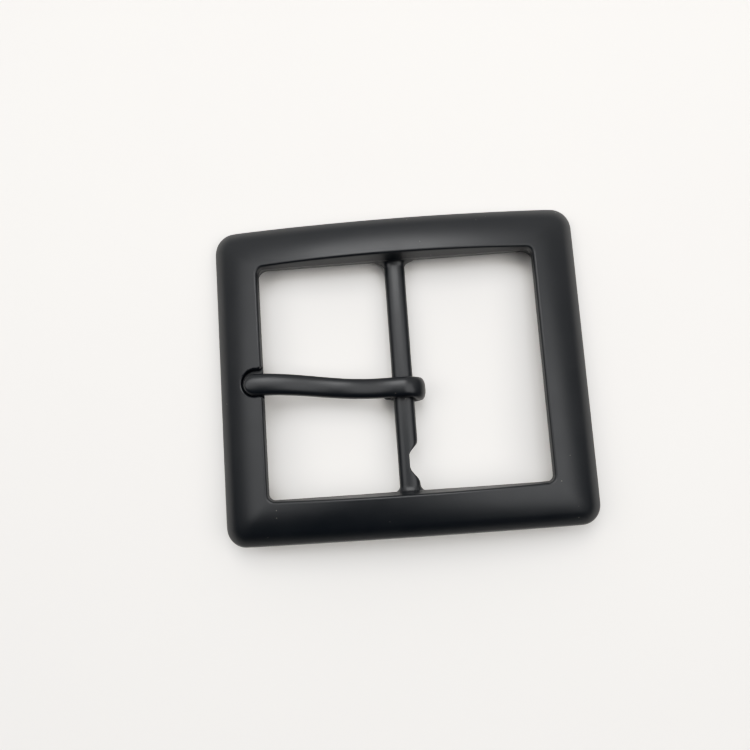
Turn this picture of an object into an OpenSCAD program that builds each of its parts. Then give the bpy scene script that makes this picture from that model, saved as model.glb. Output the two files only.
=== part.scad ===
// Centre-bar belt buckle for a 38 mm (1 1/2 in) strap: one cast frame with its bar, and one loose tongue.
// X runs along the strap, Y along the bar, Z out of the front face. The lowest point is at z = 0.

/* [Frame] */
// Length along the strap, over the side rails
frame_l = 62.2; // [60:0.1:66]
// Width across the strap, over the long rails
frame_w = 53.9; // [52.5:0.1:58]
// Radius of the four outer corners in plan
corner_r = 3.4; // [2.5:0.1:6]
// Height of the flat back above the lowest point of the tongue's hook
back_z = 1.65; // [1.4:0.05:2]
// Height of the front face at its crown, over the bar
crown_z = 8.33; // [8:0.01:9]
// Radius of the lengthwise arch of the front face
arch_r = 204; // [180:1:400]
// Radius of the shoulder between the face and the outer wall
shoulder_r = 3.3; // [2.5:0.1:3.5]

/* [Opening] */
// Length of the opening at its narrowest level
open_l = 46.3; // [44:0.1:48]
// Width of the opening at its narrowest level
open_w = 38.9; // [38.5:0.1:41]
// Height of the narrowest level, where the inner walls turn back
lip_z = 5.9; // [5:0.05:6.2]
// Lean of the inner walls above that level
draft_up = 14.5; // [5:0.5:18]
// Lean of the inner walls below that level
draft_down = 12; // [5:0.5:15]
// Radius of the vertical corner cut behind the walls
inner_r = 3.6; // [3.2:0.1:5]

/* [Bar] */
// Radius of the centre bar
bar_r = 1.7; // [1.5:0.05:1.8]
// Height of the bar's axis
bar_z = 3.35; // [3.3:0.05:3.5]
// Radius of the cast fillet at each end of the bar
bar_fillet = 1.1; // [0.5:0.1:1.5]
// Where the notch for fitting the tongue starts, towards the middle of the bar
notch_y = -11.9; // [-13:0.1:-8]
// Distance from the bar's axis to the floor of the notch
notch_x = 0.2; // [0:0.05:0.6]
// Length of the straight floor of the notch
notch_flat = 2.0; // [1.5:0.1:3]

/* [Tongue rest] */
// Centre of the rest's round end
rest_x = -24.5; // [-25:0.1:-24]
// Offset of the rest from the middle of the rail
rest_y = 0.1; // [-0.5:0.1:0.5]
// Half the width of the rest
rest_r = 2.4; // [2.4:0.05:3]
// Height of the floor of the rest
rest_z = 5.3; // [5:0.05:5.3]

/* [Tongue] */
// Radial play of the hook round the bar
hook_play = 0.09; // [0.05:0.01:0.1]
// Outer radius of the hook
hook_r = 3.5; // [3.3:0.05:3.6]
// Place of the hook along the bar
hook_y = -2.3; // [-2.5:0.1:-1.9]
// Sideways place of the tip
tip_y = -0.35; // [-0.4:0.05:0.2]
// Centre of the rounded tip
tip_x = -24.45; // [-24.6:0.05:-24]
// Width of the tongue at the hook
hook_w = 3.3; // [2.8:0.05:3.6]
// Width of the tongue at the tip
tip_w = 3.65; // [3:0.05:3.8]
// Thickness of the tongue over the bar
hook_t = 1.86; // [1.6:0.02:2]
// Thickness of the tongue in the middle and at the tip
shank_t = 2.25; // [2:0.05:2.4]
// Lowest place of the tongue's middle line
dip_x = -10.5; // [-12:0.5:-9]
// Height of that place above the bar's axis
dip_h = 1.15; // [1:0.05:2]
// Gap under the tip, which rests on the floor of the rest
tip_gap = 0.08; // [0.06:0.01:0.15]
// Height of the tail's end below the bar's axis
tail_h = 0.6; // [0.4:0.1:1]

/* [Hidden] */
$fn = 96;
ARCH_FN = 720;
BLACK = "#26282b";
OVER = 2;                                  // how far a cutter runs past what it cuts
STEPS = 18;                                // points along each half of the tongue
shoulder_x = frame_l / 2 - shoulder_r;     // centre of the side shoulders
shoulder_y = frame_w / 2 - shoulder_r;     // centre of the long shoulders
shoulder_z = crown_z - arch_r + sqrt(pow(arch_r - shoulder_r, 2) - pow(shoulder_x, 2));
tangent_x = shoulder_x * arch_r / (arch_r - shoulder_r);
wall_up = crown_z + OVER - lip_z;
wall_down = lip_z - back_z + OVER;
hook_in = bar_r + hook_play;
hook_mid = hook_in + hook_t / 2;           // middle line of the tongue over the bar
tip_mid = rest_z + tip_gap + shank_t / 2 - bar_z;
reach = frame_w;                           // length of a prism that crosses the whole part

// Smooth step from 0 to 1
function ease(t) = (1 - cos(180 * min(max(t, 0), 1))) / 2;

// Height of the tongue's middle line above the bar's axis
function mid_h(x) = x > dip_x ? hook_mid + (dip_h - hook_mid) * ease((x + 0.6) / (dip_x + 0.6))
                              : dip_h + (tip_mid - dip_h) * ease((x - dip_x) / (tip_x - dip_x));

// Thickness, sideways place and width of the tongue along its length
function thick(x) = hook_t + (shank_t - hook_t) * ease(x / dip_x);
function side_y(x) = hook_y + (tip_y - hook_y) * ease((x + 3.5) / (tip_x + 3.5));
function width(x) = hook_w + (tip_w - hook_w) * min(max(x / tip_x, 0), 1);

// Turn an outline drawn in X and Z into a prism along Y, centred
module along_y(length) translate([0, length / 2, 0]) rotate([90, 0, 0]) linear_extrude(length) children();

// Turn an outline drawn in Y and Z into a prism along X, centred
module along_x(length) translate([-length / 2, 0, 0]) rotate([90, 0, 90]) linear_extrude(length) children();

module rounded_rect(l, w, r) {
    square([l - 2 * r, w], center = true);
    square([l, w - 2 * r], center = true);
    for (sx = [-1, 1], sy = [-1, 1]) translate([sx * (l / 2 - r), sy * (w / 2 - r)]) circle(r);
}

// Side view of the casting: flat back, arched face and round shoulders at both ends
module side_outline() intersection() {
    union() {
        intersection() {
            translate([0, crown_z - arch_r]) circle(arch_r, $fn = ARCH_FN);
            translate([-tangent_x, back_z]) square([2 * tangent_x, crown_z]);
        }
        for (s = [-1, 1]) translate([s * shoulder_x, shoulder_z]) circle(shoulder_r);
        translate([-frame_l / 2, back_z]) square([frame_l, shoulder_z - back_z]);
    }
    translate([-frame_l, back_z]) square([2 * frame_l, crown_z]);
}

// Ring about the arch's centre: it carries the long shoulders along the arch
module arched_band() translate([0, 0, crown_z - arch_r]) rotate([90, 0, 0])
    rotate_extrude($fn = ARCH_FN) {
        for (s = [-1, 1]) translate([arch_r - shoulder_r, s * shoulder_y]) circle(shoulder_r);
        translate([arch_r - 4 * shoulder_r, -shoulder_y]) square([4 * shoulder_r, 2 * shoulder_y]);
        translate([arch_r - 4 * shoulder_r, -frame_w / 2]) square([3 * shoulder_r, frame_w]);
    }

// Outline across an opening of this width at the lip, leaning back above and below it
module wall_outline(w) polygon([
    [-w / 2 - wall_down * tan(draft_down), lip_z - wall_down], [w / 2 + wall_down * tan(draft_down), lip_z - wall_down],
    [w / 2, lip_z], [w / 2 + wall_up * tan(draft_up), lip_z + wall_up],
    [-w / 2 - wall_up * tan(draft_up), lip_z + wall_up], [-w / 2, lip_z]]);

module opening() intersection() {
    along_y(reach) wall_outline(open_l);
    along_x(2 * reach) wall_outline(open_w);
    linear_extrude(2 * crown_z) rounded_rect(open_l + 1.8, open_w + 1.8, inner_r);
}

// Rest for the tip, open towards the opening
module tongue_rest() translate([0, 0, rest_z]) linear_extrude(crown_z) {
    translate([rest_x, rest_y]) circle(rest_r);
    translate([rest_x, rest_y - rest_r]) square([-rest_x - open_l / 2 + OVER, 2 * rest_r]);
}

// The bar flares into the walls at both ends
module bar() {
    bar_end = open_w / 2 + (lip_z - bar_z) * tan(draft_down);
    flare = bar_r + bar_fillet;
    translate([0, 0, bar_z]) rotate([90, 0, 0]) {
        cylinder(r = bar_r, h = 2 * bar_end + 1, center = true);
        for (s = [0, 1]) mirror([0, 0, s]) rotate_extrude() difference() {
            translate([0, bar_end - bar_fillet]) square([flare, bar_fillet + 0.5]);
            translate([flare, bar_end - bar_fillet]) circle(bar_fillet);
        }
    }
}

// Notch in the bar's +X side, where the hook slips on and off
module notch() {
    steep_r = bar_r - notch_x;
    slow_r = 2.8;
    floor_y = notch_y - steep_r;
    translate([0, 0, -OVER]) linear_extrude(crown_z) {
        translate([bar_r, floor_y]) circle(steep_r);
        translate([notch_x, floor_y - notch_flat]) square([2 * bar_r, notch_flat]);
        intersection() {
            translate([notch_x + slow_r, floor_y - notch_flat]) circle(slow_r);
            translate([0, floor_y - notch_flat - slow_r]) square([2 * bar_r, slow_r]);
        }
    }
}

module frame() color(BLACK) {
    difference() {
        intersection() {
            along_y(reach + OVER) side_outline();
            arched_band();
            linear_extrude(2 * crown_z) rounded_rect(frame_l, frame_w, corner_r);
        }
        opening();
        tongue_rest();
    }
    intersection() {
        difference() {
            bar();
            notch();
        }
        translate([-frame_l / 2, -frame_w / 2, back_z]) cube([frame_l, frame_w, crown_z]);
    }
}

// Side view of the tongue, drawn about the bar's axis
module tongue_side() {
    top = [for (i = [0:STEPS * 2]) let (x = (tip_x - tip_w) * i / (STEPS * 2)) [x, mid_h(x) + thick(x) / 2]];
    under = [for (i = [STEPS * 2:-1:0]) let (x = (tip_x - tip_w) * i / (STEPS * 2)) [x, mid_h(x) - thick(x) / 2]];
    difference() {
        union() {
            polygon(concat(top, under));
            difference() {
                translate([0.1, 0.15]) circle(hook_r);
                translate([-2 * hook_r, -tail_h]) square([2 * hook_r, 3 * hook_r]);
            }
        }
        circle(hook_in);
    }
}

// Plan of the tongue: a slight sideways set, and a round tip
module tongue_plan() {
    left = [for (i = [0:STEPS]) let (x = tip_x * i / STEPS) [x, side_y(x) + width(x) / 2]];
    right = [for (i = [STEPS:-1:0]) let (x = tip_x * i / STEPS) [x, side_y(x) - width(x) / 2]];
    polygon(concat([[2 * hook_r, hook_y + hook_w / 2]], left, right, [[2 * hook_r, hook_y - hook_w / 2]]));
    translate([tip_x, tip_y]) circle(tip_w / 2);
}

module tongue() color(BLACK) intersection() {
    translate([0, 0, bar_z]) along_y(reach) tongue_side();
    linear_extrude(2 * crown_z) tongue_plan();
}

frame();
tongue();
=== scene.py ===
import math

import bmesh
import bpy
import numpy as np
from mathutils import Matrix, Vector


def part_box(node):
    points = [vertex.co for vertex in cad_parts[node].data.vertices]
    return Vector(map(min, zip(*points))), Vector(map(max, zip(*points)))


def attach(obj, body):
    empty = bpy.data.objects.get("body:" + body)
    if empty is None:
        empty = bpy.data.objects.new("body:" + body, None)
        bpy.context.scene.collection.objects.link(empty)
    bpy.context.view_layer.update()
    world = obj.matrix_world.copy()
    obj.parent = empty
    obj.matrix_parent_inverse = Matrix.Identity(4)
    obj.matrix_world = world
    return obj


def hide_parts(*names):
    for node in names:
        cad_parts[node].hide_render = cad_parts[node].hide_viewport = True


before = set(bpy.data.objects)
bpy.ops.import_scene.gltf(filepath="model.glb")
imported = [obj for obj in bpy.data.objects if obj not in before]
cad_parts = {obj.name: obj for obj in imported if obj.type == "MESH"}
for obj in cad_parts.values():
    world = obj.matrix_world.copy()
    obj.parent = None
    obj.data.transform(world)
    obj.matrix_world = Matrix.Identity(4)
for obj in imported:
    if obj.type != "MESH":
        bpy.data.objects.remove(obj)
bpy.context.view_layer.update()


# ---------------------------------------------------------------------------------------------
# Table top: a matt white board. The buckle stands on it on the round of its tongue's hook and on
# two back corners, as a buckle with a proud hook does, so the board is set to touch those points.
# ---------------------------------------------------------------------------------------------
MM = 0.001
frame_low, frame_high = (np.array(corner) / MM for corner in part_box("frame"))
back_z = frame_low[2]

HOOK_FOOT_Y = -0.65                  # mm, where the hook's round touches the board
BOARD_HALF = 1500.0                  # mm
BOARD_PATCHES = 14.0                 # per metre, so its paper's patches are about 70 mm apart
board_slope = back_z / (frame_high[1] - HOOK_FOOT_Y)


def linear(code):
    """A hex sRGB colour as linear RGBA."""
    parts = [int(code[i:i + 2], 16) / 255 for i in (1, 3, 5)]
    return [p / 12.92 if p <= 0.04045 else ((p + 0.055) / 1.055) ** 2.4 for p in parts] + [1.0]


def add_node(tree, kind, feeds, **settings):
    """Adds a node: feeds maps an input's name or number to a value, or to the socket that feeds it."""
    node = tree.nodes.new(kind)
    for setting, value in settings.items():
        setattr(node, setting, value)
    for name, feed in feeds.items():
        if isinstance(feed, bpy.types.NodeSocket):
            tree.links.new(feed, node.inputs[name])
        else:
            node.inputs[name].default_value = feed
    return node


def new_material(name):
    """An empty node material and its tree, with the output node's surface left to link."""
    material = bpy.data.materials.new(name)
    material.use_nodes = True
    material.node_tree.nodes.clear()
    return material, material.node_tree


def new_piece(name, points, faces, material):
    """A smooth-shaded mesh object from points in millimetres."""
    mesh = bpy.data.meshes.new(name)
    mesh.from_pydata((np.asarray(points) * MM).tolist(), [], faces)
    mesh.materials.append(material)
    mesh.shade_smooth()
    piece = bpy.data.objects.new(name, mesh)
    bpy.context.scene.collection.objects.link(piece)
    return piece


# Matt white board: a faint warm white with a paper's soft mottle, too rough to mirror anything
board_white, board_tree = new_material("matt_white_board")
board_at = add_node(board_tree, "ShaderNodeTexCoord", {})
board_mottle = add_node(board_tree, "ShaderNodeTexNoise",
                        {"Vector": board_at.outputs["Object"], "Scale": BOARD_PATCHES,
                         "Detail": 3.0})
board_colour = add_node(board_tree, "ShaderNodeMix",
                        {"Factor": board_mottle.outputs["Fac"],
                         "A": linear("#efece9"), "B": linear("#f2f0ec")},
                        data_type="RGBA")
board_shader = add_node(board_tree, "ShaderNodeBsdfPrincipled",
                        {"Base Color": board_colour.outputs["Result"], "Roughness": 0.9,
                         "Specular IOR Level": 0.2})
add_node(board_tree, "ShaderNodeOutputMaterial", {"Surface": board_shader.outputs["BSDF"]})

board_points = [(x, y, board_slope * (y - HOOK_FOOT_Y))
                for x, y in ((-BOARD_HALF, -BOARD_HALF), (BOARD_HALF, -BOARD_HALF),
                             (BOARD_HALF, BOARD_HALF), (-BOARD_HALF, BOARD_HALF))]
board = new_piece("board", board_points, [(0, 1, 2, 3)], board_white)


# ---------------------------------------------------------------------------------------------
# Light and camera: three round soft boxes in a ring overhead, the strongest on the far side, a weak
# pale room round them, and a camera that looks almost straight down between them.
# ---------------------------------------------------------------------------------------------
LIGHT_AWAY = 480.0                   # mm from the buckle
# Each soft box: its lean in degrees from straight up, the way it leans in degrees round Z from +X, its
# size across in mm, and its brightness
SOFTBOXES = (("far_softbox", 25.5, 91.0, 290.0, 4.3),
             ("right_softbox", 31.0, -17.0, 416.0, 2.15),
             ("left_softbox", 33.0, 176.0, 347.0, 1.85))
for name, lean, turn, size, bright in SOFTBOXES:
    lean, turn = math.radians(lean), math.radians(turn)
    softbox_data = bpy.data.lights.new(name, "AREA")
    softbox_data.shape = "DISK"
    softbox_data.size = size * MM
    softbox_data.energy = bright * math.pi ** 2 * (size * MM / 2) ** 2
    softbox = bpy.data.objects.new(name, softbox_data)
    away = Vector((math.sin(lean) * math.cos(turn), math.sin(lean) * math.sin(turn), math.cos(lean)))
    softbox.location = away * LIGHT_AWAY * MM
    softbox.rotation_euler = away.to_track_quat("Z", "Y").to_euler()
    bpy.context.scene.collection.objects.link(softbox)

ROOM_NEAR, ROOM_FAR = 0.0, 0.8       # brightness of the room overhead on the near side, -Y, and far side
NEAR_Y, FAR_Y = -0.3, 0.6            # between these directions along Y one passes into the other
ROOM_WALLS = 0.35                    # brightness of its walls, low down
WALL_TOP_Z, WALL_FULL_Z = 0.2, 0.04  # they start at the one direction's height and are full at the other
room = bpy.data.worlds.new("pale_room")
room.use_nodes = True
room.node_tree.nodes.clear()
room_way = add_node(room.node_tree, "ShaderNodeTexCoord", {})
room_axes = add_node(room.node_tree, "ShaderNodeSeparateXYZ", {"Vector": room_way.outputs["Generated"]})
room_side = add_node(room.node_tree, "ShaderNodeMapRange",
                     {"Value": room_axes.outputs["Y"], "From Min": NEAR_Y, "From Max": FAR_Y,
                      "To Min": ROOM_NEAR, "To Max": ROOM_FAR}, interpolation_type="SMOOTHSTEP")
room_walls = add_node(room.node_tree, "ShaderNodeMapRange",
                      {"Value": room_axes.outputs["Z"], "From Min": WALL_TOP_Z, "From Max": WALL_FULL_Z,
                       "To Min": 0.0, "To Max": ROOM_WALLS}, interpolation_type="SMOOTHSTEP")
room_glow = add_node(room.node_tree, "ShaderNodeMath",
                     {0: room_side.outputs["Result"], 1: room_walls.outputs["Result"]}, operation="MAXIMUM")
room_light = add_node(room.node_tree, "ShaderNodeBackground",
                      {"Color": linear("#f4f3f2"), "Strength": room_glow.outputs["Value"]})
add_node(room.node_tree, "ShaderNodeOutputWorld", {"Surface": room_light.outputs["Background"]})
bpy.context.scene.world = room

# The camera's tone curve: straight in the blacks, with a shoulder that lifts pale greys towards white
TONE_POINTS = (0.13, 0.13), (0.45, 0.575), (0.90, 0.915)    # scene brightness in, and out
picture = bpy.context.scene.view_settings
picture.view_transform = "Standard"
picture.use_curve_mapping = True
for tone_in, tone_out in TONE_POINTS:
    picture.curve_mapping.curves[3].points.new(tone_in, tone_out)
picture.curve_mapping.update()

CAMERA_AIM = Vector((-4.53, -0.04, 5.9))    # mm
CAMERA_AWAY = 125.8                  # mm
CAMERA_TILT = 0.1405                 # rad from straight down
CAMERA_TURN = 0.1722                 # rad round Z, of the way it tilts
CAMERA_ROLL = -0.0695                # rad
CAMERA_CLIP = 10.0                   # mm
CAMERA_LENS, CAMERA_SENSOR = 36.25, 36.0    # mm

camera_back = Vector((math.sin(CAMERA_TILT) * math.sin(CAMERA_TURN),
                      -math.sin(CAMERA_TILT) * math.cos(CAMERA_TURN), math.cos(CAMERA_TILT)))
camera_right = Vector((0, 1, 0)).cross(camera_back).normalized()
camera_up = camera_back.cross(camera_right)
camera_turn = Matrix((camera_right, camera_up, camera_back)).transposed()
camera_data = bpy.data.cameras.new("camera")
camera_data.lens = CAMERA_LENS
camera_data.sensor_width = CAMERA_SENSOR
camera_data.clip_start = CAMERA_CLIP * MM
camera = bpy.data.objects.new("camera", camera_data)
camera.matrix_world = (Matrix.Translation((CAMERA_AIM + camera_back * CAMERA_AWAY) * MM)
                       @ camera_turn.to_4x4() @ Matrix.Rotation(CAMERA_ROLL, 4, "Z"))
bpy.context.scene.collection.objects.link(camera)
bpy.context.scene.camera = camera


# ---------------------------------------------------------------------------------------------
# Frame: one zinc die casting with its centre bar, tumbled smooth so that every edge is soft, then
# coated satin black. Its face is arched along the strap and crowned across the rails. The opening's
# walls lean in to a lip and back out, and the near side rail holds a rest for the tongue's tip.
# ---------------------------------------------------------------------------------------------
CORNER_R = 3.4                       # mm, outer corners in plan
ARCH_R = 204.0                       # lengthwise arch of the face
CROWN_R = 15.0                       # crown across the rails, level at their inner edge
SHOULDER_W, SHOULDER_SLOPE = 2.3, 0.62    # the outermost strip, where the face falls faster
RIM_R = 0.35                         # tumbled edge between face and outer wall
CROWN_START = 0.3                    # the crown starts this far out from the lip
CROWN_TURN = 4                       # how tightly it turns the corners: the power of the distance
OPEN_HALF = np.array([23.15, 19.45])  # half the opening at the lip
OPEN_CORNER_R = 1.0
LIP_Z = 5.9
LEAN_UP = math.radians(14.5)         # of the walls above the lip
LEAN_DOWN = math.radians(12.0)       # and below it
EDGE_R = 0.42                        # tumbled edge between face and inner wall
EDGE_OUT, SLOPE_STEP = 0.5, 0.1      # the face's slope at that edge is read this far out, over this step
BACK_EDGE_R = 0.3                    # tumbled edges of the flat back
FINE, COARSE = 0.2, 0.9              # mesh steps along the rails, near the bar and rest, and elsewhere
FINE_HALF = 4.6
crown_z = frame_high[2]
outer_half = frame_high[:2]


def side_steps(length):
    """Stations along a straight side as shares of its length, close together around its middle."""
    middle = np.linspace(-FINE_HALF, FINE_HALF, round(2 * FINE_HALF / FINE) + 1)
    rest = np.linspace(FINE_HALF, length / 2, round((length / 2 - FINE_HALF) / COARSE) + 1)[1:]
    return (np.concatenate([-rest[::-1], middle, rest]) / length + 0.5)[:-1]


SIDE_STEPS = [side_steps(2 * (outer_half[axis] - CORNER_R)) for axis in (1, 0)]
CORNER_STEPS = np.radians(np.linspace(0, 90, 15))[:-1]


def outline(half, corner_r):
    """Points of a rounded rectangle and its outward directions, anticlockwise from the +X side."""
    points, normals = [], []
    centre = np.asarray(half) - corner_r
    for quarter in range(4):
        turn = math.radians(90 * quarter)
        spin = np.array([[math.cos(turn), -math.sin(turn)], [math.sin(turn), math.cos(turn)]])
        out, along = (centre if quarter % 2 == 0 else centre[::-1])
        share = SIDE_STEPS[quarter % 2]
        side = np.stack([np.full_like(share, out + corner_r), (2 * share - 1) * along], -1)
        arc = np.stack([np.cos(CORNER_STEPS), np.sin(CORNER_STEPS)], -1)
        points += [side @ spin.T, (np.array([out, along]) + corner_r * arc) @ spin.T]
        normals += [np.tile(spin[:, 0], (len(share), 1)), arc @ spin.T]
    return np.concatenate(points), np.concatenate(normals)


def edge_distance(xy):
    """How far a plan point lies inside the outer outline."""
    past = np.abs(xy) - (outer_half - CORNER_R)
    return CORNER_R - np.linalg.norm(np.maximum(past, 0), axis=-1) - np.minimum(past.max(-1), 0)


def face_height(xy):
    """Height of the face: the arch, less the fall of the crown, the shoulder and the rim."""
    arch = crown_z - ARCH_R + np.sqrt(ARCH_R ** 2 - xy[:, 0] ** 2)
    across = np.linalg.norm(np.maximum(np.abs(xy) - OPEN_HALF - CROWN_START, 0), CROWN_TURN, axis=-1)
    crown = CROWN_R - np.sqrt(CROWN_R ** 2 - across ** 2)
    inside = edge_distance(xy)
    shoulder = SHOULDER_SLOPE / (2 * SHOULDER_W) * (SHOULDER_W - np.clip(inside, 0, SHOULDER_W)) ** 2
    rim = RIM_R - np.sqrt(np.maximum(RIM_R ** 2 - (RIM_R - np.clip(inside, 0, RIM_R)) ** 2, 0))
    return arch - crown - shoulder - rim


def level(xy, z):
    """Plan points lifted to a height, or each to its own."""
    return np.column_stack([xy, np.broadcast_to(z, len(xy))])


def frame_ring():
    """The casting's four rails as loops round the opening: up the outer wall, over the face, down inside."""
    loops = []
    wall, wall_out = outline(outer_half, CORNER_R)
    for angle in np.radians([0, 30, 60, 90]):              # back edge, outside
        loops.append(level(wall - wall_out * BACK_EDGE_R * (1 - math.sin(angle)),
                           back_z + BACK_EDGE_R * (1 - math.cos(angle))))
    wall_top = face_height(wall)
    for share in (0.15, 0.5, 0.85):
        loops.append(level(wall, back_z + BACK_EDGE_R + share * (wall_top - back_z - BACK_EDGE_R)))
    rim_insets = RIM_R * (1 - np.cos(np.radians(np.linspace(0, 90, 9))))
    for inset in [*rim_insets, *np.linspace(RIM_R, SHOULDER_W, 14)[1:]]:   # rim and shoulder
        ring = outline(outer_half - inset, max(CORNER_R - inset, 1.0))[0]
        loops.append(level(ring, face_height(ring)))
    shoulder_top = ring

    lip, lip_out = outline(OPEN_HALF, OPEN_CORNER_R)

    def grow(offset):
        return lip + lip_out * np.reshape(offset, (-1, 1))

    edge_plan = grow(EDGE_OUT)
    slope = np.arctan((face_height(edge_plan) - face_height(grow(EDGE_OUT + SLOPE_STEP))) / SLOPE_STEP)
    edge_z = face_height(edge_plan) - EDGE_R / np.cos(slope)
    rise = edge_z + EDGE_R * math.sin(LEAN_UP) - LIP_Z
    edge_in = EDGE_R * math.cos(LEAN_UP) + rise * math.tan(LEAN_UP)
    face_edge = grow(edge_in + EDGE_R * np.sin(slope))
    for share in np.linspace(0, 1, 26)[1:-1]:              # land, from the shoulder to the inner edge
        ring = shoulder_top + (face_edge - shoulder_top) * share
        loops.append(level(ring, face_height(ring)))
    for share in np.linspace(0, 1, 7):                     # tumbled inner edge
        angle = (math.pi / 2 + slope) * (1 - share) + LEAN_UP * share
        loops.append(level(grow(edge_in - EDGE_R * np.cos(angle)), edge_z + EDGE_R * np.sin(angle)))
    for share in (0.9, 0.7, 0.5, 0.3, 0.12, 0.02):         # wall down to the lip
        loops.append(level(grow(rise * share * math.tan(LEAN_UP)), LIP_Z + rise * share))
    drop = LIP_Z - back_z - BACK_EDGE_R
    for share in (0.02, 0.06, 0.2, 0.4, 0.6, 0.8, 0.94):   # and back out towards the back
        loops.append(level(grow(drop * share * math.tan(LEAN_DOWN)), LIP_Z - drop * share))
    foot = drop * math.tan(LEAN_DOWN)
    for angle in np.radians([0, 30, 60, 90]):              # back edge, inside
        loops.append(level(grow(foot + BACK_EDGE_R * (1 - math.cos(angle))),
                           back_z + BACK_EDGE_R * (1 - math.sin(angle))))
    inner_foot, outer_foot = loops[-1][:, :2], loops[0][:, :2]
    for share in (0.04, 0.2, 0.4, 0.6, 0.8, 0.96):         # flat back
        loops.append(level(inner_foot + (outer_foot - inner_foot) * share, back_z))
    return loops


def skin(loops, closed_loops):
    """Faces between rings of equal length. Rings either close into a ring of rings or get end caps."""
    n, m = len(loops[0]), len(loops)
    faces = [(i * n + j, i * n + (j + 1) % n, (i + 1) % m * n + (j + 1) % n, (i + 1) % m * n + j)
             for i in range(m if closed_loops else m - 1) for j in range(n)]
    if not closed_loops:
        faces += [tuple(range(n))[::-1], tuple(range((m - 1) * n, m * n))]
    return faces


BAR_R = 1.75                         # mm, half the bar's width
BAR_HALF_T = 1.45                    # half its thickness
BAR_AXIS_UP = 1.7                    # height of its axis over the frame's back
BAR_POWER = 2.6                      # squareness of its section
FLARE_SIDE, FLARE_UP, FLARE_LONG = 2.4, 0.8, 1.4   # how the bar spreads into the walls at its ends
NOTCH_TOP, NOTCH_FLOOR = -11.1, 0.2  # where the notch starts along the bar, and its floor's place in X
NOTCH_IN, NOTCH_FLAT, NOTCH_OUT = 2.6, 1.8, 3.0    # its three stretches along the bar
NOTCH_EDGE = 0.5                     # softness of its edges
NOTCH_STEEP = 1.6                    # the small round at its edges is tighter the higher this is
NOTCH_CLEAR = 0.3                    # the tool that cuts it starts this far outside the bar
BAR_FOOT_UP, BAR_FOOT_EDGE = 0.02, 0.1      # the bar's ends stay this far above the frame's back
BAR_SINK, FLARE_END = 1.2, 0.94      # its ends run this far into the walls, with the spread cut off here
FINE_FROM, FINE_TO = -11.0, 1.5      # fine steps up to this Y, and in the last stretch before the far wall
BAR_FINE, BAR_COARSE = 0.12, 0.8     # mesh steps along it
BAR_POINTS = 64                      # and points round it
bar_z = back_z + BAR_AXIS_UP
bar_end = OPEN_HALF[1] + (LIP_Z - bar_z) * math.tan(LEAN_DOWN)


def ease(t):
    """A smooth step from 0 to 1."""
    return (1 - np.cos(np.pi * np.clip(t, 0, 1))) / 2


def soft_min(a, b, blend):
    """The smaller of two lengths, with a round of about this size where they cross."""
    near = np.maximum(blend - np.abs(a - b), 0) / blend
    return np.minimum(a, b) - near ** 2 * blend / 4


def squared_cos(angles, power):
    """A cosine for an oval with its sides and top pressed flatter: power 2 is the plain oval."""
    return np.sign(np.cos(angles)) * np.abs(np.cos(angles)) ** (2 / power)


def notch_share(t):
    """Depth of the notch along its ends: a small round at the bar's edge, a wide one at the floor."""
    return 1 - (1 - np.clip(t, 0, 1) ** NOTCH_STEEP) ** 2


def bar_loops():
    """Cross-sections of the bar from wall to wall, each drawn anticlockwise round +Y."""
    stations = np.unique(np.round(np.concatenate([
        np.arange(-bar_end - BAR_SINK, FINE_FROM, BAR_FINE),
        np.arange(FINE_FROM, bar_end - FINE_TO, BAR_COARSE),
        np.arange(bar_end - FINE_TO, bar_end + BAR_SINK, BAR_FINE)]), 4))
    angles = np.linspace(0, 2 * np.pi, BAR_POINTS + 1)[:-1]
    loops = []
    for y in stations:
        into_wall = np.clip((abs(y) - bar_end + FLARE_LONG) / FLARE_LONG, 0, FLARE_END)
        spread = 1 - math.sqrt(1 - into_wall ** 2)
        x = (BAR_R + FLARE_SIDE * spread) * squared_cos(angles, BAR_POWER)
        z = bar_z + (BAR_HALF_T + FLARE_UP * spread) * squared_cos(angles - np.pi / 2, BAR_POWER)
        below = NOTCH_TOP - y
        cut = (notch_share(below / NOTCH_IN)
               * notch_share((NOTCH_IN + NOTCH_FLAT + NOTCH_OUT - below) / NOTCH_OUT))
        notch_x = BAR_R + NOTCH_CLEAR + (NOTCH_FLOOR - BAR_R - NOTCH_CLEAR) * cut
        if cut > 0:
            x = soft_min(x, notch_x, NOTCH_EDGE)
        z = -soft_min(-z, -(back_z + BAR_FOOT_UP), BAR_FOOT_EDGE)
        loops.append(np.column_stack([x, np.full_like(x, y), z]))
    return loops


REST_X, REST_Y, REST_R = -24.64, 0.0, 2.3    # mm, round end of the tongue's rest
REST_Z = 5.3                         # its floor
REST_EDGE_R = 0.25                   # its tumbled rim
REST_FOOT_R = 0.25                   # round at the foot of its wall
MOUTH_R = 0.4                        # tumbled corners where it opens into the window
MOUTH_IN = 0.35                      # they start this far outside the lip
REST_TOOL_PAST = 4.0                 # the tool that cuts it reaches this far into the window
REST_TOOL_UP = 0.5                   # and this far above the face


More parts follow.
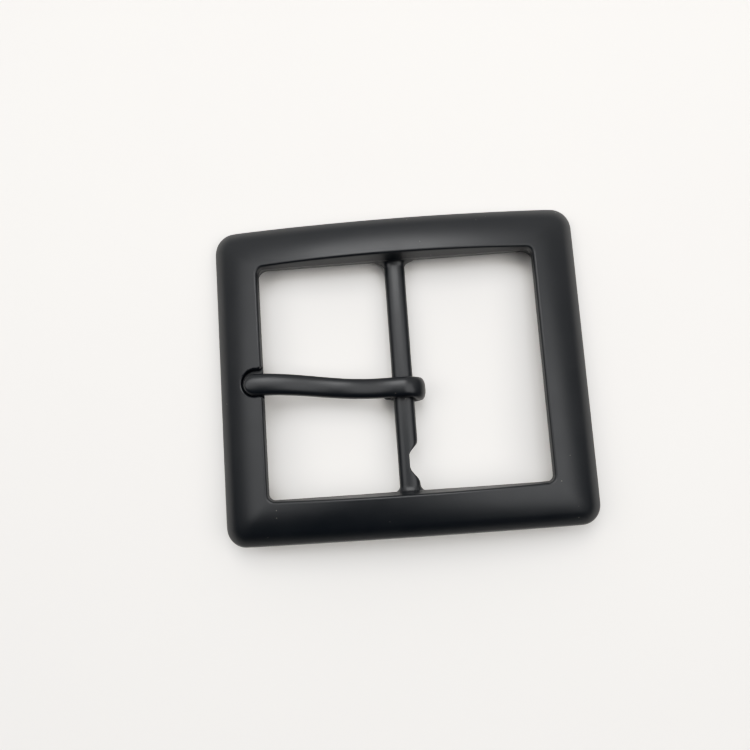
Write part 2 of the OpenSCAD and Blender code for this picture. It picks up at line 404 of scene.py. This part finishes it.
def rest_outline(grow):
    """Plan of the rest, grown by this much: a U whose arms spread where they meet the rail's wall."""
    mouth_x = -OPEN_HALF[0] - MOUTH_IN - MOUTH_R
    arm = np.concatenate([np.linspace(mouth_x + REST_TOOL_PAST, mouth_x + MOUTH_R + 0.2, 4),
                          mouth_x + MOUTH_R * np.sin(np.radians([85, 75, 60, 45, 30, 15, 0])),
                          np.linspace(mouth_x, REST_X, 4)[1:]])
    over = np.clip((arm - mouth_x) / MOUTH_R, 0, 0.996)
    spread = REST_R + grow + MOUTH_R * (1 - np.sqrt(1 - over ** 2))
    turn = np.radians(np.linspace(90, 270, 41))[1:-1]
    round_end = np.array([REST_X, REST_Y]) + (REST_R + grow) * np.stack([np.cos(turn), np.sin(turn)], -1)
    return np.concatenate([np.stack([arm, REST_Y + spread], -1), round_end,
                           np.stack([arm, REST_Y - spread], -1)[::-1]])


def rest_cutter_loops():
    """The tool that forms the rest: floor, foot round, wall, and a rim that rolls over into the face."""
    loops = []
    for angle in np.radians([0, 30, 60, 90]):
        plan = rest_outline(-REST_FOOT_R * (1 - math.sin(angle)))
        loops.append(level(plan, REST_Z + REST_FOOT_R * (1 - math.cos(angle))))
    for angle in np.radians([0, 12, 24, 36, 48, 60, 70, 78]):
        plan = rest_outline(REST_EDGE_R * (1 - math.cos(angle)))
        face = face_height(np.column_stack([np.minimum(plan[:, 0], -OPEN_HALF[0] - 0.2), plan[:, 1]]))
        loops.append(level(plan, face - REST_EDGE_R * (1 - math.sin(angle))))
    plan = rest_outline(REST_EDGE_R * 1.7)
    loops.append(level(plan, loops[-1][:, 2] + REST_TOOL_UP))
    return loops


WELD = 0.001                         # mm, points nearer than this are one point


def point_outwards(piece):
    """Welds a closed mesh, turns its faces outwards and shades it smooth."""
    outward = bmesh.new()
    outward.from_mesh(piece.data)
    bmesh.ops.remove_doubles(outward, verts=outward.verts, dist=WELD * MM)
    bmesh.ops.dissolve_degenerate(outward, edges=outward.edges, dist=WELD * MM)
    bmesh.ops.recalc_face_normals(outward, faces=outward.faces)
    outward.to_mesh(piece.data)
    outward.free()
    piece.data.shade_smooth()


def apply_tool(piece, tool, operation):
    """Joins or cuts one closed mesh with another and leaves a plain mesh."""
    modifier = piece.modifiers.new("tool", "BOOLEAN")
    modifier.operation = operation
    modifier.solver = "EXACT"
    modifier.object = tool
    result = bpy.data.meshes.new_from_object(piece.evaluated_get(bpy.context.evaluated_depsgraph_get()))
    piece.modifiers.clear()
    piece.data = result
    bpy.data.objects.remove(tool)


# Satin black electro-coat: a black film with a faint blue cast and a low sheen that brightens at a
# glance, faint patches where handling has changed the sheen, the fine orange peel of a dipped and baked
# paint, and a few pale specks of dust
COAT_ROUGH, ROUGH_CHANGE = 0.33, 0.03    # roughness, and how much it changes from patch to patch
PATCH_SIZE, PEEL_SIZE, GRAIN_SIZE = 6.0, 0.5, 0.09   # mm
DUST_APART, DUST_SIZE = 2.0, 0.18    # mm
DUST_SHARE = 0.40                    # share of the places that hold a speck
satin_black, coat_tree = new_material("satin_black_ecoat")
coat_at = add_node(coat_tree, "ShaderNodeTexCoord", {})
coat_patches = add_node(coat_tree, "ShaderNodeTexNoise",
                        {"Vector": coat_at.outputs["Object"], "Scale": 1 / (PATCH_SIZE * MM), "Detail": 4.0})
coat_rough = add_node(coat_tree, "ShaderNodeMapRange",
                      {"Value": coat_patches.outputs["Fac"], "From Min": 0.3, "From Max": 0.7,
                       "To Min": COAT_ROUGH - ROUGH_CHANGE, "To Max": COAT_ROUGH + ROUGH_CHANGE})
coat_black = add_node(coat_tree, "ShaderNodeMix",
                      {"Factor": coat_patches.outputs["Fac"], "A": linear("#080d13"), "B": linear("#0b0f14")},
                      data_type="RGBA")
coat_dust = add_node(coat_tree, "ShaderNodeTexVoronoi",
                     {"Vector": coat_at.outputs["Object"], "Scale": 1 / (DUST_APART * MM)})
dust_near = add_node(coat_tree, "ShaderNodeMath",
                     {0: coat_dust.outputs["Distance"], 1: DUST_SIZE / 2 / DUST_APART}, operation="LESS_THAN")
dust_pick = add_node(coat_tree, "ShaderNodeSeparateColor", {"Color": coat_dust.outputs["Color"]})
dust_here = add_node(coat_tree, "ShaderNodeMath", {0: dust_pick.outputs["Red"], 1: DUST_SHARE},
                     operation="LESS_THAN")
dust_mask = add_node(coat_tree, "ShaderNodeMath",
                     {0: dust_near.outputs["Value"], 1: dust_here.outputs["Value"]}, operation="MULTIPLY")
coat_colour = add_node(coat_tree, "ShaderNodeMix",
                       {"Factor": dust_mask.outputs["Value"], "A": coat_black.outputs["Result"],
                        "B": linear("#6a6862")}, data_type="RGBA")
coat_peel = add_node(coat_tree, "ShaderNodeTexNoise",
                     {"Vector": coat_at.outputs["Object"], "Scale": 1 / (PEEL_SIZE * MM), "Detail": 2.0})
coat_grain = add_node(coat_tree, "ShaderNodeTexNoise",
                      {"Vector": coat_at.outputs["Object"], "Scale": 1 / (GRAIN_SIZE * MM), "Detail": 1.0})
peel_bump = add_node(coat_tree, "ShaderNodeBump",
                     {"Height": coat_peel.outputs["Fac"], "Strength": 0.3, "Distance": 0.012 * MM})
coat_bump = add_node(coat_tree, "ShaderNodeBump",
                     {"Height": coat_grain.outputs["Fac"], "Normal": peel_bump.outputs["Normal"],
                      "Strength": 0.2, "Distance": 0.004 * MM})
coat_shader = add_node(coat_tree, "ShaderNodeBsdfPrincipled",
                       {"Base Color": coat_colour.outputs["Result"],
                        "Roughness": coat_rough.outputs["Result"],
                        "Normal": coat_bump.outputs["Normal"], "IOR": 1.5})
add_node(coat_tree, "ShaderNodeOutputMaterial", {"Surface": coat_shader.outputs["BSDF"]})

ring_loops = frame_ring()
buckle_frame = new_piece("buckle_frame", np.concatenate(ring_loops), skin(ring_loops, True), satin_black)
cutter_loops = rest_cutter_loops()
rest_cutter = new_piece("rest_cutter", np.concatenate(cutter_loops), skin(cutter_loops, False), satin_black)
bar_rings = bar_loops()
bar = new_piece("bar", np.concatenate(bar_rings), skin(bar_rings, False), satin_black)
for part in (buckle_frame, rest_cutter, bar):
    point_outwards(part)
apply_tool(buckle_frame, rest_cutter, "DIFFERENCE")
apply_tool(buckle_frame, bar, "UNION")
point_outwards(buckle_frame)
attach(buckle_frame, "frame")
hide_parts("frame")


# ---------------------------------------------------------------------------------------------
# Tongue: a second zinc casting in the same coat, with a round-shouldered section. Its hook is bent
# round the bar, its shank dips towards the strap, and its round tip lies in the rest. It is a sweep
# of one flattened oval along its middle line.
# ---------------------------------------------------------------------------------------------
HOOK_IN_R = 1.79                     # mm, inside of the hook, round the bar
HOOK_OUT_R = 3.5
HOOK_SHIFT = np.array([0.0, 0.15])   # of the hook's outer round from the bar's axis, in X and Z
HOOK_LONG = 0.08                     # share by which the outer round is longer along X
HOOK_STEPS, SHANK_STEPS, TIP_STEPS = 64, 80, 24      # mesh steps along its three stretches
TAIL_ANGLE = -174.0                  # degrees, where the hook's tail ends
TAIL_EDGE_R = 0.35                   # tumbled edge of the tail's end
HOOK_Y, TIP_Y, TIP_X = -2.35, -0.35, -24.55
HOOK_W, TIP_W = 3.3, 3.65            # width where the shank leaves the bar, and at the tip
BEND_W, BEND_Y = 3.8, -2.6           # the bend is wider, and set a little towards -Y
BEND_RISE, BEND_FALL = 75.0, 80.0    # degrees over which it widens and narrows again
BEND_FALL_FROM = -60.0               # degrees, where it starts to narrow
HOOK_T, SHANK_T = 1.86, 2.25
DIP_X, DIP_H = -10.5, 1.15           # lowest place of the shank, over the bar's axis
DIP_FROM, SET_FROM = 0.6, 1.5        # the dip, and the sideways set, start this far along the shank
TIP_H = REST_Z + 0.08 + SHANK_T / 2 - bar_z
HOOK_H = HOOK_IN_R + HOOK_T / 2
TIP_ROUND = 8                        # the tip keeps its thickness nearly to its end: higher is later
TIP_END, TAIL_END = 0.9998, 0.97     # shares of the rounds at the tip and tail where the caps are
SECTION_POWER = 2.5                  # squareness of the section: 2 is a plain oval
SECTION_POINTS = 48


def tongue_line():
    """Middle line of the tongue from tail to tip, with half its width and half its thickness there."""
    degrees = np.linspace(TAIL_ANGLE, 90, HOOK_STEPS)
    ray = np.stack([np.cos(np.radians(degrees)), np.sin(np.radians(degrees))], -1)
    across = ray @ HOOK_SHIFT
    outside = across + np.sqrt(HOOK_OUT_R ** 2 - HOOK_SHIFT @ HOOK_SHIFT + across ** 2)
    outside = outside * (1 + HOOK_LONG * ray[:, 0] ** 2)
    hook = ray * ((HOOK_IN_R + outside) / 2)[:, None]
    bent = ease((90 - degrees) / BEND_RISE) * (1 - ease((BEND_FALL_FROM - degrees) / BEND_FALL))
    x = np.concatenate([np.linspace(0, TIP_X, SHANK_STEPS)[1:],
                        TIP_X - TIP_W / 2 * np.sin(np.radians(np.linspace(0, 90, TIP_STEPS)))[1:]])
    height = np.where(x > DIP_X, HOOK_H + (DIP_H - HOOK_H) * ease((x + DIP_FROM) / (DIP_X + DIP_FROM)),
                      DIP_H + (TIP_H - DIP_H) * ease((x - DIP_X) / (TIP_X - DIP_X)))
    side = HOOK_Y + (TIP_Y - HOOK_Y) * ease((x + SET_FROM) / (TIP_X + SET_FROM))
    wide = HOOK_W + (TIP_W - HOOK_W) * np.clip(x / TIP_X, 0, 1)
    thick = HOOK_T + (SHANK_T - HOOK_T) * ease(x / DIP_X)

    tip_past = np.clip((TIP_X - x) / (TIP_W / 2), 0, TIP_END)
    wide = wide * np.sqrt(1 - tip_past ** 2)
    thick = thick * (1 - tip_past ** TIP_ROUND) ** 0.4
    tail_past = np.clip(1 - np.radians(degrees - TAIL_ANGLE) * HOOK_H / TAIL_EDGE_R, 0, TAIL_END)
    tail_trim = 2 * TAIL_EDGE_R * (1 - np.sqrt(1 - tail_past ** 2))
    line = np.column_stack([np.concatenate([hook[:, 0], x]),
                            np.concatenate([HOOK_Y + (BEND_Y - HOOK_Y) * bent, side]),
                            np.concatenate([hook[:, 1], height]) + bar_z])
    return (line, np.concatenate([HOOK_W + (BEND_W - HOOK_W) * bent - tail_trim, wide]) / 2,
            np.concatenate([outside - HOOK_IN_R - tail_trim, thick]) / 2)


# The sweep: rings of the oval, square to the line, with the width kept along Y
sweep = bpy.data.node_groups.new("flat_oval_sweep", "GeometryNodeTree")
sweep.interface.new_socket("Line", in_out="INPUT", socket_type="NodeSocketGeometry")
squareness_socket = sweep.interface.new_socket("Squareness", in_out="INPUT", socket_type="NodeSocketFloat")
points_socket = sweep.interface.new_socket("Points Round", in_out="INPUT", socket_type="NodeSocketInt")
coat_socket = sweep.interface.new_socket("Coat", in_out="INPUT", socket_type="NodeSocketMaterial")
sweep.interface.new_socket("Tongue", in_out="OUTPUT", socket_type="NodeSocketGeometry")
asked = add_node(sweep, "NodeGroupInput", {})
line_curve = add_node(sweep, "GeometryNodeMeshToCurve", {"Mesh": asked.outputs["Line"]})
here = add_node(sweep, "GeometryNodeInputPosition", {})
heading = add_node(sweep, "GeometryNodeInputTangent", {})
with_middle = add_node(sweep, "GeometryNodeStoreNamedAttribute",
                       {"Geometry": line_curve.outputs["Curve"], "Name": "middle",
                        "Value": here.outputs["Position"]}, data_type="FLOAT_VECTOR", domain="POINT")
with_heading = add_node(sweep, "GeometryNodeStoreNamedAttribute",
                        {"Geometry": with_middle.outputs["Geometry"], "Name": "heading",
                         "Value": heading.outputs["Tangent"]}, data_type="FLOAT_VECTOR", domain="POINT")
oval = add_node(sweep, "GeometryNodeCurvePrimitiveCircle",
                {"Resolution": asked.outputs["Points Round"], "Radius": MM}, mode="RADIUS")
tube = add_node(sweep, "GeometryNodeCurveToMesh",
                {"Curve": with_heading.outputs["Geometry"], "Profile Curve": oval.outputs["Curve"],
                 "Fill Caps": True})
middle = add_node(sweep, "GeometryNodeInputNamedAttribute", {"Name": "middle"}, data_type="FLOAT_VECTOR")
along = add_node(sweep, "GeometryNodeInputNamedAttribute", {"Name": "heading"}, data_type="FLOAT_VECTOR")
half_wide = add_node(sweep, "GeometryNodeInputNamedAttribute", {"Name": "half_width"}, data_type="FLOAT")
half_thick = add_node(sweep, "GeometryNodeInputNamedAttribute", {"Name": "half_thickness"}, data_type="FLOAT")
offset = add_node(sweep, "ShaderNodeVectorMath",
                  {0: here.outputs["Position"], 1: middle.outputs["Attribute"]}, operation="SUBTRACT")
direction = add_node(sweep, "ShaderNodeVectorMath", {0: offset.outputs["Vector"]}, operation="NORMALIZE")
raw_up = add_node(sweep, "ShaderNodeVectorMath",
                  {0: (0.0, 1.0, 0.0), 1: along.outputs["Attribute"]}, operation="CROSS_PRODUCT")
up = add_node(sweep, "ShaderNodeVectorMath", {0: raw_up.outputs["Vector"]}, operation="NORMALIZE")
sideways = add_node(sweep, "ShaderNodeVectorMath",
                    {0: along.outputs["Attribute"], 1: up.outputs["Vector"]}, operation="CROSS_PRODUCT")
share_wide = add_node(sweep, "ShaderNodeVectorMath",
                      {0: direction.outputs["Vector"], 1: sideways.outputs["Vector"]},
                      operation="DOT_PRODUCT")
share_up = add_node(sweep, "ShaderNodeVectorMath",
                    {0: direction.outputs["Vector"], 1: up.outputs["Vector"]}, operation="DOT_PRODUCT")
power = add_node(sweep, "ShaderNodeMath", {0: 2.0, 1: asked.outputs["Squareness"]}, operation="DIVIDE")
moved = middle.outputs["Attribute"]
for share, half, axis in ((share_wide, half_wide, (0.0, 1.0, 0.0)),
                          (share_up, half_thick, up.outputs["Vector"])):
    size = add_node(sweep, "ShaderNodeMath", {0: share.outputs["Value"]}, operation="ABSOLUTE")
    pressed = add_node(sweep, "ShaderNodeMath", {0: size.outputs["Value"], 1: power.outputs["Value"]},
                       operation="POWER")
    side_sign = add_node(sweep, "ShaderNodeMath", {0: share.outputs["Value"]}, operation="SIGN")
    signed = add_node(sweep, "ShaderNodeMath", {0: pressed.outputs["Value"], 1: side_sign.outputs["Value"]},
                      operation="MULTIPLY")
    reach = add_node(sweep, "ShaderNodeMath", {0: signed.outputs["Value"], 1: half.outputs["Attribute"]},
                     operation="MULTIPLY")
    step = add_node(sweep, "ShaderNodeVectorMath", {0: axis, "Scale": reach.outputs["Value"]},
                    operation="SCALE")
    moved = add_node(sweep, "ShaderNodeVectorMath", {0: moved, 1: step.outputs["Vector"]},
                     operation="ADD").outputs["Vector"]
shaped = add_node(sweep, "GeometryNodeSetPosition", {"Geometry": tube.outputs["Mesh"], "Position": moved})
plain = add_node(sweep, "GeometryNodeRealizeInstances", {"Geometry": shaped.outputs["Geometry"]})
coated = add_node(sweep, "GeometryNodeSetMaterial",
                  {"Geometry": plain.outputs["Geometry"], "Material": asked.outputs["Coat"]})
add_node(sweep, "NodeGroupOutput", {"Tongue": coated.outputs["Geometry"]})

line_points, half_widths, half_thicknesses = tongue_line()
line_mesh = bpy.data.meshes.new("tongue_line")
line_mesh.from_pydata((line_points * MM).tolist(), [(i, i + 1) for i in range(len(line_points) - 1)], [])
line_mesh.attributes.new("half_width", "FLOAT", "POINT").data.foreach_set("value", half_widths * MM)
line_mesh.attributes.new("half_thickness", "FLOAT", "POINT").data.foreach_set("value", half_thicknesses * MM)
buckle_tongue = bpy.data.objects.new("buckle_tongue", line_mesh)
bpy.context.scene.collection.objects.link(buckle_tongue)
sweeping = buckle_tongue.modifiers.new("sweep", "NODES")
sweeping.node_group = sweep
sweeping[squareness_socket.identifier] = SECTION_POWER
sweeping[points_socket.identifier] = SECTION_POINTS
sweeping[coat_socket.identifier] = satin_black
swept = bpy.data.meshes.new_from_object(buckle_tongue.evaluated_get(bpy.context.evaluated_depsgraph_get()))
buckle_tongue.modifiers.clear()
buckle_tongue.data = swept
for attribute_name in ("middle", "heading", "half_width", "half_thickness"):
    swept.attributes.remove(swept.attributes[attribute_name])
point_outwards(buckle_tongue)
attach(buckle_tongue, "tongue")
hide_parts("tongue")
